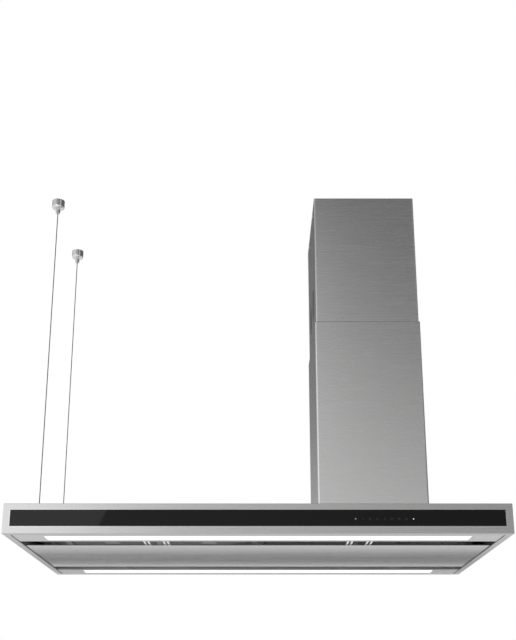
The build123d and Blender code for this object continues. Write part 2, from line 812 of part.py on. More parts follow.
# Impeller with blades on both sides of its disc
fan_plane = Plane(origin=(0, fan_y, fan_z), x_dir=(0, 1, 0), z_dir=(1, 0, 0))
with BuildPart() as impeller:
    with BuildSketch(fan_plane.offset(-impeller_width / 2)):
        with PolarLocations(impeller_radius - blade_depth / 2, blade_count):
            Rectangle(blade_depth, blade_thick, rotation=blade_lean)
    extrude(amount=impeller_width)
    with BuildSketch(fan_plane.offset(-disc_thick / 2)):
        Circle(impeller_radius)
    extrude(amount=disc_thick)
    for start in (-impeller_width / 2, impeller_width / 2 - disc_thick):
        with BuildSketch(fan_plane.offset(start)):
            Circle(impeller_radius)
            Circle(impeller_radius - blade_depth, mode=Mode.SUBTRACT)
        extrude(amount=disc_thick)
    with BuildSketch(fan_plane.offset(disc_thick - hub_length)):
        Circle(hub_radius)
    extrude(amount=hub_length)
    with BuildSketch(fan_plane.offset(-hub_length)):
        Circle(shaft_radius)
    extrude(amount=2 * hub_length, mode=Mode.SUBTRACT)
save(impeller, "impeller")

shaft_start = disc_thick - hub_length
with BuildPart() as fan_shaft:
    with BuildSketch(fan_plane.offset(shaft_start)):
        Circle(shaft_radius)
    extrude(amount=shaft_length)
save(fan_shaft, "fan_shaft")

# Motor in the right half of the impeller, on a three-armed spider on the scroll's side
spider_start = scroll_width / 2 + scroll_wall
motor_start = disc_thick / 2 + motor_gap
with BuildPart() as motor:
    with BuildSketch(fan_plane.offset(motor_start)):
        Circle(motor_radius)
    extrude(amount=spider_start - motor_start)
    fillet(motor.edges().group_by(Axis.X)[0], motor_gap / 2)
    with BuildSketch(fan_plane.offset(motor_start)):
        Circle(shaft_radius + run_gap)
    extrude(amount=shaft_start + shaft_length + fit_gap - motor_start, mode=Mode.SUBTRACT)
save(motor, "motor")

inlet_radius = impeller_radius - blade_depth
with BuildPart() as motor_bracket:
    with BuildSketch(fan_plane.offset(spider_start)):
        Circle(motor_radius - motor_gap)
        with PolarLocations((inlet_radius + spider_lap) / 2, 3, start_angle=90):
            Rectangle(inlet_radius + spider_lap, spider_arm)
    extrude(amount=spider_sheet)
save(motor_bracket, "motor_bracket")

# Outlet collar with its two non-return flaps
collar_z = box_top + collar_flange_sheet
flap_z = collar_z + flap_height
bore = collar_radius - collar_wall
seat_top = flap_z - flap_thick / 2 - fit_gap
with BuildPart() as outlet_collar:
    with BuildSketch(Plane.XY.offset(box_top)):
        with Locations((0, outlet_y)):
            Rectangle(collar_flange, collar_flange)
            Circle(bore, mode=Mode.SUBTRACT)
    extrude(amount=collar_flange_sheet)
    with BuildSketch(Plane.XY.offset(collar_z)):
        with Locations((0, outlet_y)):
            Circle(collar_radius)
            Circle(bore, mode=Mode.SUBTRACT)
    extrude(amount=collar_height)
    with BuildSketch(Plane.XY.offset(seat_top - flap_seat_thick)):
        with Locations((0, outlet_y)):
            Circle(bore + collar_wall / 2)
            Circle(bore - flap_seat, mode=Mode.SUBTRACT)
            Rectangle(4 * flap_pin_offset, 2 * (bore - fit_gap), mode=Mode.SUBTRACT)
    extrude(amount=flap_seat_thick)
    with BuildSketch(Plane.XZ):
        with Locations((-flap_pin_offset, flap_z), (flap_pin_offset, flap_z)):
            Circle(flap_pin_radius)
    extrude(amount=collar_flange, both=True, mode=Mode.SUBTRACT)
save(outlet_collar, "outlet_collar")

flap_pin_length = 2 * (bore + collar_wall / 2)
with BuildPart() as flap_pins:
    with BuildSketch(Plane.XZ.offset(-flap_pin_length / 2)):
        with Locations((-flap_pin_offset, flap_z), (flap_pin_offset, flap_z)):
            Circle(flap_pin_radius)
    extrude(amount=flap_pin_length)
save(flap_pins, "flap_pins")

flap_radius = bore - flap_gap
knuckle_half = flap_radius - flap_gap
for name, side in (("flap_left", -1), ("flap_right", 1)):
    with BuildPart() as flap:
        with BuildSketch(Plane.XY.offset(flap_z - flap_thick / 2)):
            Circle(flap_radius)
            with Locations((-side * (flap_radius - flap_pin_offset), 0)):
                Rectangle(2 * flap_radius, 2 * flap_radius, mode=Mode.SUBTRACT)
        extrude(amount=flap_thick)
        with BuildSketch(Plane.XZ.offset(-knuckle_half)):
            with Locations((side * flap_pin_offset, flap_z)):
                Circle(flap_knuckle)
        extrude(amount=2 * knuckle_half)
        with BuildSketch(Plane.XZ.offset(-flap_radius)):
            with Locations((side * flap_pin_offset, flap_z)):
                Circle(flap_pin_radius + run_gap)
        extrude(amount=2 * flap_radius, mode=Mode.SUBTRACT)
    save(flap, name)

# Terminal box beside the collar, with the gland where the mains lead enters
terminal_y = collar_flange / 2 + terminal_gap + terminal_width / 2
with BuildPart() as terminal_box:
    with Locations((0, terminal_y, box_top)):
        Box(
            terminal_length,
            terminal_width,
            terminal_height,
            align=(Align.CENTER, Align.CENTER, Align.MIN),
        )
    fillet(terminal_box.edges().filter_by(Axis.Z), terminal_gap / 2)
    with BuildSketch(Plane.XY.offset(box_top + terminal_height)):
        with Locations((-terminal_length / 4, terminal_y)):
            RegularPolygon(gland_radius, 6)
    extrude(amount=gland_height)
    with BuildSketch(Plane.XY.offset(box_top + terminal_height)):
        with Locations((-terminal_length / 4, terminal_y)):
            Circle(gland_bore)
    extrude(amount=gland_height, mode=Mode.SUBTRACT)
save(terminal_box, "terminal_box")

# Beam under the top sheet that takes the cables' pull
beam_top = top_z - sheet
beam_length = hood_depth - 2 * (ledge_width + fit_gap)
with BuildPart() as cable_beam:
    with BuildSketch(Plane.XZ.offset(-beam_length / 2)):
        with Locations((cable_x, beam_top - beam_height / 2)):
            Rectangle(beam_width, beam_height)
        with Locations((cable_x, beam_top - beam_sheet - beam_height / 2)):
            Rectangle(beam_width - 2 * beam_sheet, beam_height, mode=Mode.SUBTRACT)
    extrude(amount=beam_length)
    with BuildSketch(Plane.XY.offset(beam_top)):
        with Locations(*cable_ends):
            Circle(stud_radius + stud_play)
    extrude(amount=-2 * beam_sheet, mode=Mode.SUBTRACT)
save(cable_beam, "cable_beam")

# Cable anchors on the hood, each with its stud and nut
anchor_top = top_z + anchor_height
nut_top = beam_top - beam_sheet
with BuildPart() as cable_anchors:
    with BuildSketch(Plane.XY.offset(top_z)):
        with Locations(*cable_ends):
            Circle(anchor_flange)
    extrude(amount=anchor_flange_height)
    with BuildSketch(Plane.XY.offset(top_z)):
        with Locations(*cable_ends):
            Circle(anchor_radius)
    extrude(amount=anchor_height)
    rims = cable_anchors.edges().filter_by(GeomType.CIRCLE).group_by(Axis.Z)[-1]
    fillet(rims, min(anchor_round, anchor_radius / 2))
    with BuildSketch(Plane.XY.offset(top_z)):
        with Locations(*cable_ends):
            Circle(stud_radius)
    extrude(amount=-(sheet + beam_sheet + nut_height))
    with BuildSketch(Plane.XY.offset(nut_top)):
        with Locations(*cable_ends):
            RegularPolygon(nut_radius, 6)
    extrude(amount=-nut_height)
    with BuildSketch(Plane.XY.offset(anchor_top)):
        with Locations(*cable_ends):
            Circle(cable_radius + cable_play)
    extrude(amount=-anchor_bore, mode=Mode.SUBTRACT)
save(cable_anchors, "cable_anchors")

# Cables, and the ceiling cups with the grippers that hold their upper ends
cable_bottom = anchor_top - anchor_bore
for place, (x, y) in zip(("front", "rear"), cable_ends):
    with BuildPart() as cable:
        with BuildSketch(Plane.XY.offset(cable_bottom)):
            with Locations((x, y)):
                Circle(cable_radius)
        extrude(amount=-cable_end - cable_bottom)
    save(cable, f"cable_{place}")

    with BuildPart() as ceiling_cup:
        with BuildSketch(Plane.XY):
            with Locations((x, y)):
                Circle(cup_radius)
        extrude(amount=-cup_height)
        fillet(ceiling_cup.edges().group_by(Axis.Z)[0], min(cup_round, cup_radius / 2))
        with BuildSketch(Plane.XY.offset(-cup_height)):
            with Locations((x, y)):
                Circle(grip_radius)
        extrude(amount=-grip_height)
        with BuildSketch(Plane.XY.offset(-cup_height - grip_height)):
            with Locations((x, y)):
                Circle(cable_radius + cable_play)
        extrude(amount=cup_height + grip_height - cable_end, mode=Mode.SUBTRACT)
    save(ceiling_cup, f"ceiling_cup_{place}")
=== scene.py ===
import bpy
import bmesh
from math import pi, radians
from mathutils import Matrix, Vector


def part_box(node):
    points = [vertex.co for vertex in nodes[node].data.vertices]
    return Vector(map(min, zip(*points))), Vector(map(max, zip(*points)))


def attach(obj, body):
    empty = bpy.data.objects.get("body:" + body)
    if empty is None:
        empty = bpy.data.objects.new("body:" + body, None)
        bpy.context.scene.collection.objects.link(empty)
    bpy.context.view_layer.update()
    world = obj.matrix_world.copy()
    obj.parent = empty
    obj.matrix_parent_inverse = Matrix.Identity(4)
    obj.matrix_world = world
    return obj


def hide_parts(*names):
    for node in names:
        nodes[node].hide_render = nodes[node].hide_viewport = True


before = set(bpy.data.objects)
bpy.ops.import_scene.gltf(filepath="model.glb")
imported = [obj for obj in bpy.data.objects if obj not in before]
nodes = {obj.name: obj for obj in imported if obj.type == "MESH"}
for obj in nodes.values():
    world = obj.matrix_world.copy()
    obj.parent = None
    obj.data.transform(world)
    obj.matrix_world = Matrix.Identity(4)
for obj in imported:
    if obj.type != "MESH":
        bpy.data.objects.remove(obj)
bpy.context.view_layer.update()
scene = bpy.context.scene
print("frame loaded,", len(nodes), "solids")


def corners(node):
    return [Vector(corner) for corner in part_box(node)]


railLow, railHigh = corners("front_rail")
hoodMiddle = (railLow.x + railHigh.x) / 2
hoodBase = railLow.z
hoodFront = railLow.y
hoodRear = corners("rear_rail")[1].y

# camera at the photograph's angle, from below and in front
cameraSet = {
    "distance": 2.379,  # from the hood's front face
    "below": 0.418,  # under the hood's underside
    "pitch": 17.21,  # degrees upwards
    "lens": 57.75,
    "shiftY": 0.13,
    "clipEnd": 60.0,
}


def addCamera():
    data = bpy.data.cameras.new("camera")
    data.lens = cameraSet["lens"]
    data.shift_y = cameraSet["shiftY"]
    data.clip_end = cameraSet["clipEnd"]
    camera = bpy.data.objects.new("camera", data)
    camera.location = (hoodMiddle, hoodFront - cameraSet["distance"], hoodBase - cameraSet["below"])
    camera.rotation_euler = (radians(90 + cameraSet["pitch"]), 0, 0)
    scene.collection.objects.link(camera)
    scene.camera = camera


addCamera()
print("camera placed")

white = (1, 1, 1, 1)
black = (0, 0, 0, 1)


# small helpers for shader trees
def newMaterial(name):
    material = bpy.data.materials.new(name)
    material.use_nodes = True
    tree = material.node_tree
    return material, tree, tree.nodes["Principled BSDF"]


def addNode(tree, kind, **settings):
    node = tree.nodes.new(kind)
    for key, value in settings.items():
        setattr(node, key, value)
    return node


def grainNoise(tree, scale, detail=4.0, roughness=0.6):
    place = addNode(tree, "ShaderNodeTexCoord")
    mapping = addNode(tree, "ShaderNodeMapping")
    mapping.inputs["Scale"].default_value = scale
    noise = addNode(tree, "ShaderNodeTexNoise")
    noise.inputs["Scale"].default_value = 1.0
    noise.inputs["Detail"].default_value = detail
    noise.inputs["Roughness"].default_value = roughness
    tree.links.new(place.outputs["Object"], mapping.inputs["Vector"])
    tree.links.new(mapping.outputs["Vector"], noise.inputs["Vector"])
    return noise.outputs["Fac"]


# noise seldom leaves 0.3 to 0.7, so that is the span it is read over
def spread(tree, value, low, high, fromLow=0.3, fromHigh=0.7):
    span = addNode(tree, "ShaderNodeMapRange")
    span.inputs["From Min"].default_value = fromLow
    span.inputs["From Max"].default_value = fromHigh
    span.inputs["To Min"].default_value = low
    span.inputs["To Max"].default_value = high
    tree.links.new(value, span.inputs["Value"])
    return span.outputs["Result"]


def tint(tree, value, dark, light):
    mix = addNode(tree, "ShaderNodeMix", data_type="RGBA")
    mix.inputs["A"].default_value = (*dark, 1.0)
    mix.inputs["B"].default_value = (*light, 1.0)
    tree.links.new(value, mix.inputs["Factor"])
    return mix.outputs["Result"]


def addBump(tree, shader, height, strength, distance):
    bump = addNode(tree, "ShaderNodeBump")
    bump.inputs["Strength"].default_value = strength
    bump.inputs["Distance"].default_value = distance
    tree.links.new(height, bump.inputs["Height"])
    tree.links.new(bump.outputs["Normal"], shader.inputs["Normal"])


def grey(level, warm=0.0):
    return (level + warm, level, level - warm)


# one grain drives the colour, the roughness and the relief
def dressGrain(tree, shader, grain, tones, gloss, look):
    tree.links.new(tint(tree, grain, *tones), shader.inputs["Base Color"])
    tree.links.new(spread(tree, grain, *gloss), shader.inputs["Roughness"])
    addBump(tree, shader, grain, look["relief"], look["bumpHeight"])


# brushed sheet: streaks run along the axis whose scale is small
brushing = {
    "lineDetail": 5.0,
    "lineRoughness": 0.7,
    "lineShare": 0.75,
    "cloud": (2.2, 2.2, 2.2),  # slow mottling over the whole sheet
    "cloudDetail": 2.0,
    "cloudShare": 0.25,
    "warmth": 0.004,
    "smoother": 0.05,  # how far the streaks lower and raise the roughness
    "rougher": 0.07,
    "bumpHeight": 0.0002,
}


def brushedSteel(
    name, level, grain, rough=0.30, streak=0.07, anisotropy=0.0, relief=0.08, vary=1.0,
):
    material, tree, shader = newMaterial(name)
    shader.inputs["Metallic"].default_value = 1.0
    shader.inputs["Anisotropic"].default_value = anisotropy
    lines = grainNoise(tree, grain, brushing["lineDetail"], brushing["lineRoughness"])
    cloud = grainNoise(tree, brushing["cloud"], brushing["cloudDetail"])
    both = addNode(tree, "ShaderNodeMath", operation="MULTIPLY_ADD")
    both.inputs[1].default_value = brushing["cloudShare"]
    tree.links.new(cloud, both.inputs[0])
    tree.links.new(spread(tree, lines, 0.0, brushing["lineShare"]), both.inputs[2])
    dark = grey(level * (1 - streak))
    light = grey(level * (1 + streak), brushing["warmth"])
    tree.links.new(tint(tree, both.outputs["Value"], dark, light), shader.inputs["Base Color"])
    smoothest = rough - brushing["smoother"] * vary
    roughest = rough + brushing["rougher"] * vary
    tree.links.new(spread(tree, lines, smoothest, roughest), shader.inputs["Roughness"])
    addBump(tree, shader, lines, relief, brushing["bumpHeight"])
    return material


polishing = {
    "marks": (90, 90, 260),
    "detail": 3.0,
    "tones": (0.94, 1.05),  # times the steel's level
    "gloss": (0.8, 1.4),  # times its roughness
    "relief": 0.05,
    "bumpHeight": 0.0001,
}


def polishedSteel(name, level, rough):
    material, tree, shader = newMaterial(name)
    shader.inputs["Metallic"].default_value = 1.0
    marks = grainNoise(tree, polishing["marks"], polishing["detail"])
    tones = [grey(level * share) for share in polishing["tones"]]
    gloss = [rough * share for share in polishing["gloss"]]
    dressGrain(tree, shader, marks, tones, gloss, polishing)
    return material


# zinc-coated sheet with its crystal spangle
spangle = {
    "metal": 0.5,
    "crystals": 110.0,
    "tones": ((0.50, 0.52, 0.53), (0.60, 0.62, 0.63)),
    "gloss": (0.34, 0.52),
    "grit": (160, 160, 160),
    "relief": 0.08,
    "bumpHeight": 0.0003,
}


def galvanisedSheet():
    material, tree, shader = newMaterial("galvanisedSheet")
    shader.inputs["Metallic"].default_value = spangle["metal"]
    place = addNode(tree, "ShaderNodeTexCoord")
    crystals = addNode(tree, "ShaderNodeTexVoronoi")
    crystals.inputs["Scale"].default_value = spangle["crystals"]
    tree.links.new(place.outputs["Object"], crystals.inputs["Vector"])
    split = addNode(tree, "ShaderNodeSeparateColor")
    tree.links.new(crystals.outputs["Color"], split.inputs["Color"])
    facet = split.outputs["Red"]
    tree.links.new(tint(tree, facet, *spangle["tones"]), shader.inputs["Base Color"])
    tree.links.new(spread(tree, facet, *spangle["gloss"], 0.0, 1.0), shader.inputs["Roughness"])
    grit = grainNoise(tree, spangle["grit"])
    addBump(tree, shader, grit, spangle["relief"], spangle["bumpHeight"])
    return material


milling = {"tones": (0.88, 1.06), "gloss": (0.28, 0.44), "relief": 0.10, "bumpHeight": 0.0003}


def millAluminium(name, level, grain, metal=1.0):
    material, tree, shader = newMaterial(name)
    shader.inputs["Metallic"].default_value = metal
    lines = grainNoise(tree, grain)
    tones = [grey(level * share) for share in milling["tones"]]
    dressGrain(tree, shader, lines, tones, milling["gloss"], milling)
    return material


moulding = {
    "grit": (900, 900, 900),
    "detail": 2.0,
    "lighter": (1.25, 0.01),  # the light grains are this many times as bright, and a little more
    "smoother": 0.06,
    "rougher": 0.08,
    "relief": 0.15,
    "bumpHeight": 0.0003,
}


def mouldedPlastic(name, colour, rough):
    material, tree, shader = newMaterial(name)
    grit = grainNoise(tree, moulding["grit"], moulding["detail"])
    times, plus = moulding["lighter"]
    light = tuple(min(1.0, channel * times + plus) for channel in colour)
    gloss = (rough - moulding["smoother"], rough + moulding["rougher"])
    dressGrain(tree, shader, grit, (colour, light), gloss, moulding)
    return material


glassLook = {
    "ior": 1.5,
    "specular": 0.22,
    "haze": (5, 5, 5),
    "detail": 3.0,
    "tones": ((0.002, 0.0023, 0.0023), (0.003, 0.0034, 0.0034)),
    "gloss": (0.01, 0.03),
}


def blackGlass():
    material, tree, shader = newMaterial("blackGlass")
    shader.inputs["IOR"].default_value = glassLook["ior"]
    shader.inputs["Specular IOR Level"].default_value = glassLook["specular"]
    haze = grainNoise(tree, glassLook["haze"], glassLook["detail"])
    tree.links.new(tint(tree, haze, *glassLook["tones"]), shader.inputs["Base Color"])
    tree.links.new(spread(tree, haze, *glassLook["gloss"]), shader.inputs["Roughness"])
    return material


opalLook = {
    "rough": 0.35,
    "cloud": (14, 60, 60),
    "detail": 2.0,
    "body": ((0.90, 0.90, 0.89), (0.95, 0.95, 0.94)),
    "light": ((0.96, 0.97, 0.98), (1.0, 1.0, 1.0)),
    "strength": 1.1,
}


def litOpal():
    material, tree, shader = newMaterial("litOpal")
    shader.inputs["Roughness"].default_value = opalLook["rough"]
    cloud = grainNoise(tree, opalLook["cloud"], opalLook["detail"])
    tree.links.new(tint(tree, cloud, *opalLook["body"]), shader.inputs["Base Color"])
    tree.links.new(tint(tree, cloud, *opalLook["light"]), shader.inputs["Emission Color"])
    shader.inputs["Emission Strength"].default_value = opalLook["strength"]
    return material


boardLook = {
    "scale": 120.0,
    "rough": 0.4,
    "Color1": (0.015, 0.10, 0.05, 1),
    "Color2": (0.02, 0.13, 0.06, 1),
    "Mortar": (0.03, 0.20, 0.10, 1),
}


def circuitBoard():
    material, tree, shader = newMaterial("circuitBoard")
    traces = addNode(tree, "ShaderNodeTexBrick")
    place = addNode(tree, "ShaderNodeTexCoord")
    tree.links.new(place.outputs["Object"], traces.inputs["Vector"])
    traces.inputs["Scale"].default_value = boardLook["scale"]
    for colour in ("Color1", "Color2", "Mortar"):
        traces.inputs[colour].default_value = boardLook[colour]
    tree.links.new(traces.outputs["Color"], shader.inputs["Base Color"])
    shader.inputs["Roughness"].default_value = boardLook["rough"]
    return material


markLook = {"ink": (2000, 2000, 2000), "detail": 1.0, "dark": 0.92, "rough": 0.5}


def touchMark(name, level, glow):
    material, tree, shader = newMaterial(name)
    ink = grainNoise(tree, markLook["ink"], markLook["detail"])
    colour = tint(tree, ink, grey(level * markLook["dark"]), grey(level))
    tree.links.new(colour, shader.inputs["Base Color"])
    shader.inputs["Roughness"].default_value = markLook["rough"]
    shader.inputs["Emission Color"].default_value = white
    shader.inputs["Emission Strength"].default_value = glow
    return material


finishes = {
    "longRail": brushedSteel("longRail", 0.47, (5, 1200, 1200), rough=0.27),
    "sideRail": brushedSteel("sideRail", 0.48, (1200, 5, 1200), rough=0.27),
    "hoodSheet": brushedSteel("hoodSheet", 0.54, (5, 1200, 1200)),
    "panelSheet": brushedSteel("panelSheet", 0.46, (5, 1200, 1200), rough=0.14, relief=0.02),
    "chimneySheet": brushedSteel(
        "chimneySheet", 0.61, (9, 9, 2000),
        rough=0.25, streak=0.05, anisotropy=0.4, relief=0.03, vary=0.55,
    ),
    "ventSheet": brushedSteel("ventSheet", 0.32, (8, 8, 2000), rough=0.32),
    "satinSteel": brushedSteel("satinSteel", 0.60, (8, 900, 900), rough=0.32),
    "catchSteel": polishedSteel("catchSteel", 0.80, 0.14),
    "fittings": polishedSteel("fittings", 0.72, 0.16),
    "ropeWire": polishedSteel("ropeWire", 0.15, 0.34),
    "fasteners": polishedSteel("fasteners", 0.62, 0.24),
    "trimSteel": polishedSteel("trimSteel", 0.54, 0.16),
    "galvanised": galvanisedSheet(),
    "filterMetal": millAluminium("filterMetal", 0.62, (40, 500, 500)),
    "meshMetal": millAluminium("meshMetal", 0.66, (300, 300, 300), metal=0.35),
    "castMotor": millAluminium("castMotor", 0.50, (160, 160, 160)),
    "darkPlastic": mouldedPlastic("darkPlastic", (0.030, 0.030, 0.033), 0.48),
    "greyPlastic": mouldedPlastic("greyPlastic", (0.30, 0.31, 0.32), 0.45),
    "blackGlass": blackGlass(),
    "litOpal": litOpal(),
    "circuitBoard": circuitBoard(),
    "dimMark": touchMark("dimMark", 0.05, 0.012),
    "greyMark": touchMark("greyMark", 0.30, 0.05),
    "brightMark": touchMark("brightMark", 0.90, 1.0),
}

# which finish each solid takes
dressing = {
    "longRail": ("front_rail", "rear_rail"),
    "sideRail": ("left_rail", "right_rail"),
    "hoodSheet": ("canopy_top",),
    "panelSheet": ("suction_panel",),
    "chimneySheet": (
        "upper_chimney_front", "upper_chimney_rear", "lower_chimney_front", "lower_chimney_rear",
    ),
    "ventSheet": ("vent_grilles",),
    "satinSteel": ("led_housing_front", "led_housing_rear", "hinge_arms", "hinge_brackets"),
    "catchSteel": (
        "panel_catches", "filter_latch_1", "filter_latch_2", "filter_latch_3", "filter_latch_4",
    ),
    "fittings": ("cable_anchors", "ceiling_cup_front", "ceiling_cup_rear"),
    "ropeWire": ("cable_front", "cable_rear"),
    "fasteners": ("frame_bolts", "chimney_screws", "hinge_pins", "flap_pins", "fan_shaft"),
    "galvanised": (
        "ceiling_bracket", "upper_posts", "lower_posts", "base_plate", "motor_box", "motor_bracket",
        "filter_deck", "filter_rails", "panel_stiffener", "cable_beam",
    ),
    "filterMetal": (
        "led_carriers", "filter_frame_1", "filter_frame_2", "filter_frame_3", "filter_frame_4",
    ),
    "meshMetal": ("filter_meshes",),
    "castMotor": ("motor",),
    "darkPlastic": (
        "scroll_left", "scroll_right", "impeller", "flap_left", "flap_right", "led_driver",
    ),
    "greyPlastic": ("outlet_collar", "terminal_box"),
    "blackGlass": ("front_glass", "rear_glass"),
    "litOpal": ("led_diffuser_front", "led_diffuser_rear"),
    "circuitBoard": ("control_board",),
}

for finish, names in dressing.items():
    for name in names:
        for slot in nodes[name].material_slots:
            slot.material = finishes[finish]
print("finishes on the solids:", sum(len(names) for names in dressing.values()))


# small helpers for shapes
def addMesh(name, bm):
    mesh = bpy.data.meshes.new(name)
    bm.to_mesh(mesh)
    bm.free()
    item = bpy.data.objects.new(name, mesh)
    scene.collection.objects.link(item)
    return item


def makePiece(name, bm, finish, body, smooth=False):
    piece = addMesh(name, bm)
    for polygon in piece.data.polygons:
        polygon.use_smooth = smooth
    piece.data.materials.append(finishes[finish])
    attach(piece, body)
    return piece


def addSheet(bm, width, depth):
    sheet = bmesh.ops.create_grid(bm, x_segments=1, y_segments=1, size=0.5)["verts"]
    bmesh.ops.scale(bm, verts=sheet, vec=(width, depth, 1))
    return sheet


# leaves a band of the faces along their rim
def cutWindow(bm, faces, band):
    bmesh.ops.inset_region(bm, faces=faces, thickness=band, use_boundary=True, use_even_offset=True)
    bmesh.ops.delete(bm, geom=faces, context="FACES")


def pullUp(bm, faces, height):
    made = bmesh.ops.extrude_face_region(bm, geom=faces)["geom"]
    lifted = [item for item in made if isinstance(item, bmesh.types.BMVert)]
    bmesh.ops.translate(bm, verts=lifted, vec=(0, 0, height))


def roundOff(bm, geom, offset, segments, affect="EDGES"):
    bmesh.ops.bevel(
        bm, geom=geom, offset=offset, segments=segments, profile=0.5, affect=affect, material=-1,
    )


def faceOut(bm):
    bmesh.ops.recalc_face_normals(bm, faces=bm.faces)


def cutOff(bm, place, normal, **side):
    geom = bm.verts[:] + bm.edges[:] + bm.faces[:]
    bmesh.ops.bisect_plane(bm, geom=geom, plane_co=place, plane_no=normal, **side)


# turns a shape that lies flat so that its upper face looks to the front, or to the rear
def standUp(bm, side=-1):
    bmesh.ops.transform(bm, matrix=Matrix.Rotation(radians(-90 * side), 4, "X"), verts=bm.verts)


def pourInto(bm, part):
    mesh = bpy.data.meshes.new("part")
    part.to_mesh(mesh)
    part.free()
    bm.from_mesh(mesh)
    bpy.data.meshes.remove(mesh)


# suspension cables: one lobed ring of wires, twisted along the straight run
ropeSet = {"strands": 6, "steps": 4, "lobe": 0.82, "layLength": 0.020, "ringsPerTurn": 12}


def splinePoints(route):
    curve = bpy.data.curves.new("route", "CURVE")
    curve.dimensions = "3D"
    spline = curve.splines.new("NURBS")
    spline.points.add(len(route) - 1)
    for point, place in zip(spline.points, route):
        point.co = (*place, 1.0)
    spline.order_u = 3
    spline.use_endpoint_u = True
    guide = bpy.data.objects.new("route", curve)
    line = bpy.data.meshes.new_from_object(guide)
    points = [vert.co.copy() for vert in line.vertices]
    bpy.data.meshes.remove(line)
    bpy.data.objects.remove(guide)
    bpy.data.curves.remove(curve)
    return points


def makeRope(place):
    low, high = corners("cable_" + place)
    middle = (low + high) / 2
    radius = (high.x - low.x) / 2
    # the anchor on the hood, half-way up, and the gripper at the ceiling
    points = splinePoints([(middle.x, middle.y, height) for height in (low.z, middle.z, high.z)])
    bottom = points[0]
    length = (points[-1] - bottom).length
    turns = length / ropeSet["layLength"]
    rings = int(turns * ropeSet["ringsPerTurn"])
    bm = bmesh.new()
    around = ropeSet["strands"] * ropeSet["steps"]
    ring = bmesh.ops.create_circle(bm, segments=around, radius=radius)["verts"]
    for index, vert in enumerate(ring):
        if index % ropeSet["steps"] == 0:
            vert.co *= ropeSet["lobe"]
    bmesh.ops.translate(bm, verts=bm.verts, vec=bottom)
    bmesh.ops.spin(
        bm,
        geom=bm.verts[:] + bm.edges[:],
        cent=bottom,
        axis=(0, 0, 1),
        dvec=(0, 0, length / rings),
        angle=2 * pi * turns,
        steps=rings,
    )
    bmesh.ops.holes_fill(bm, edges=[edge for edge in bm.edges if edge.is_boundary], sides=0)
    faceOut(bm)
    rope = makePiece("rope_" + place, bm, "ropeWire", "hood", smooth=True)
    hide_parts("cable_" + place)


for place in ("front", "rear"):
    makeRope(place)
print("cables twisted")

# bright trim round the glass windows
trimSet = {
    "lap": 0.005,  # how far the rail laps over the glass
    "width": 0.0018,
    "proud": 0.0004,
    "depth": 0.0008,
    "round": 0.0002,
    "roundSteps": 2,
    "sharp": 0.5,  # an edge that turns further than this is rounded
    "level": 1e-7,  # how near to the top an edge counts as on it
}


def makeTrim(place, side):
    low, high = corners(place + "_glass")
    middle = (low + high) / 2
    shrink = 2 * (trimSet["lap"] - trimSet["width"])
    railFace = corners(place + "_rail")[0 if side < 0 else 1].y
    top = trimSet["depth"]
    bm = bmesh.new()
    addSheet(bm, high.x - low.x - shrink, high.z - low.z - shrink)
    cutWindow(bm, bm.faces[:], trimSet["width"])
    pullUp(bm, bm.faces[:], top)
    faceOut(bm)
    rims = [
        edge for edge in bm.edges
        if all(abs(vert.co.z - top) < trimSet["level"] for vert in edge.verts)
        and edge.calc_face_angle(0) > trimSet["sharp"]
    ]
    roundOff(bm, rims, trimSet["round"], trimSet["roundSteps"])
    standUp(bm, side)
    inside = railFace - side * (top - trimSet["proud"])
    bmesh.ops.translate(bm, verts=bm.verts, vec=(middle.x, inside, middle.z))
    faceOut(bm)
    makePiece("glassTrim_" + place, bm, "trimSteel", "hood")


makeTrim("front", -1)
makeTrim("rear", 1)
print("glass trims set")

# dark strip along the inner edge of each side rail, from the front rail to the rear one: painted
# shade, standing in for the shadow in the gap between the rail and the inset panel and lamp bars
shadowStripSet = {"width": 0.003, "proud": 0.0003, "depth": 0.0008, "round": 0.0001, "roundSteps": 2}


def makeShadowStrip(place, side):
    low, high = corners(place + "_rail")
    inner = high.x if side < 0 else low.x
    front = corners("front_rail")[1].y
    rear = corners("rear_rail")[0].y
    bm = bmesh.new()
    addSheet(bm, shadowStripSet["width"], rear - front)
    pullUp(bm, bm.faces[:], shadowStripSet["depth"])
    faceOut(bm)
    roundOff(bm, bm.edges[:], shadowStripSet["round"], shadowStripSet["roundSteps"])
    across = inner + side * shadowStripSet["width"] / 2
    along = (front + rear) / 2
    bmesh.ops.translate(bm, verts=bm.verts, vec=(across, along, low.z - shadowStripSet["proud"]))
    faceOut(bm)
    # the dark plastic strip is painted shade, the shadow of the gap along the rail
    makePiece("railShadowStrip_" + place, bm, "darkPlastic", "hood")


makeShadowStrip("left", -1)
makeShadowStrip("right", 1)
print("rail seams laid")

# grey plastic edging over the lower sleeve's top edge: painted shade, a thin dark line standing in
# for the shadow at the joint between the two sleeves
shadowLineSet = {"height": 0.0012, "wall": 0.0004, "sheet": 0.001, "bend": 0.0035, "bendSteps": 5}


def makeShadowLine():
    low, high = corners("lower_chimney_front")
    rear = corners("lower_chimney_rear")[1].y
    wall = shadowLineSet["wall"]
    bm = bmesh.new()
    addSheet(bm, high.x - low.x + 2 * wall, rear - low.y + 2 * wall)
    roundOff(bm, bm.verts[:], shadowLineSet["bend"], shadowLineSet["bendSteps"], affect="VERTICES")
    cutWindow(bm, bm.faces[:], shadowLineSet["sheet"] + 2 * wall)
    pullUp(bm, bm.faces[:], shadowLineSet["height"])
    bottom = high.z + wall - shadowLineSet["height"]
    bmesh.ops.translate(bm, verts=bm.verts, vec=((low.x + high.x) / 2, (low.y + rear) / 2, bottom))
    faceOut(bm)
    # the grey plastic edging is painted shade, the shadow line at the sleeves' joint
    makePiece("sleeveShadowLine", bm, "greyPlastic", "lower_chimney")


makeShadowLine()
print("sleeve edging on")

